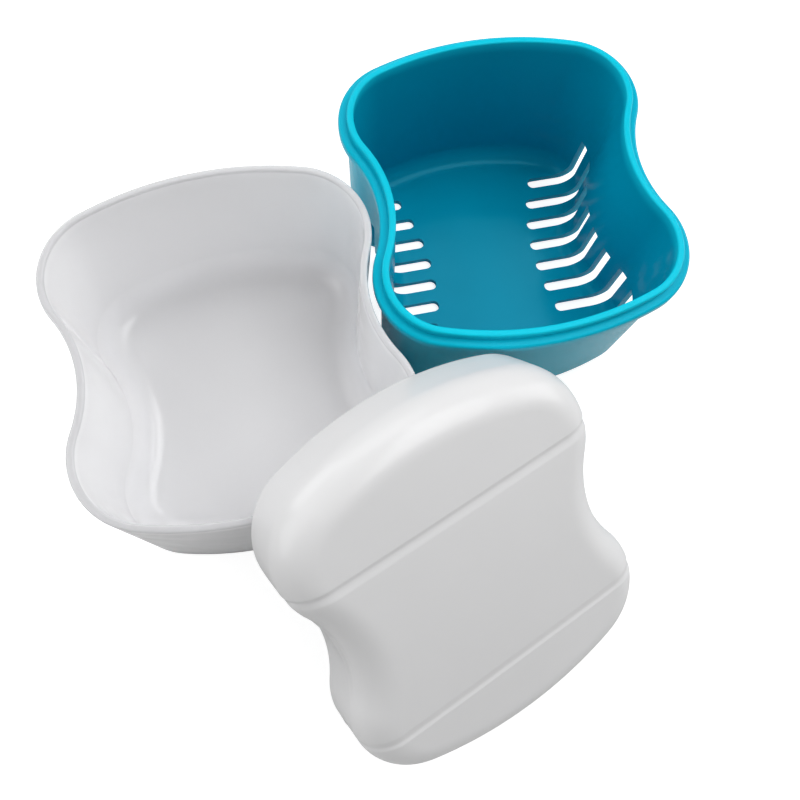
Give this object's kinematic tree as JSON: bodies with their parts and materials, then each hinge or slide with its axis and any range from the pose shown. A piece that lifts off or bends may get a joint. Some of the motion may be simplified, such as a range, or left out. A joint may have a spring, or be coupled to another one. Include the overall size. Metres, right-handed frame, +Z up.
{
  "type": "denture case",
  "caption": "Open denture bath with an hourglass plan: a deep soaking cup, a slotted rinse basket beside it and a cushioned lid leaning on the cup's rim.",
  "frame": {"origin": "middle of the underside of the soaking cup's foot, on the surface that all three pieces stand on", "axes": "+Z up; X from waist to waist and Y from bow to bow of the cup's hourglass plan; the basket stands on the +X side and the lid leans on the rim from the -Y side"},
  "size_m": [0.1728, 0.1864, 0.0724],
  "materials": {
    "cup_plastic": "glossy milky white polypropylene, slightly translucent",
    "basket_plastic": "glossy teal polypropylene",
    "lid_plastic": "satin white polypropylene"
  },
  "bodies": {
    "cup": {"soaking_cup": "cup_plastic"},
    "basket": {"rinse_basket": "basket_plastic"},
    "lid": {"lid": "lid_plastic"}
  },
  "joints": [
    {"name": "basket_lift", "type": "slide", "parent": "cup", "child": "basket", "axis": [0, 0, 1], "range_m": [0, 0.09]},
    {"name": "lid_lift", "type": "slide", "parent": "cup", "child": "lid", "axis": [0, 0, 1], "range_m": [0, 0.09]}
  ]
}
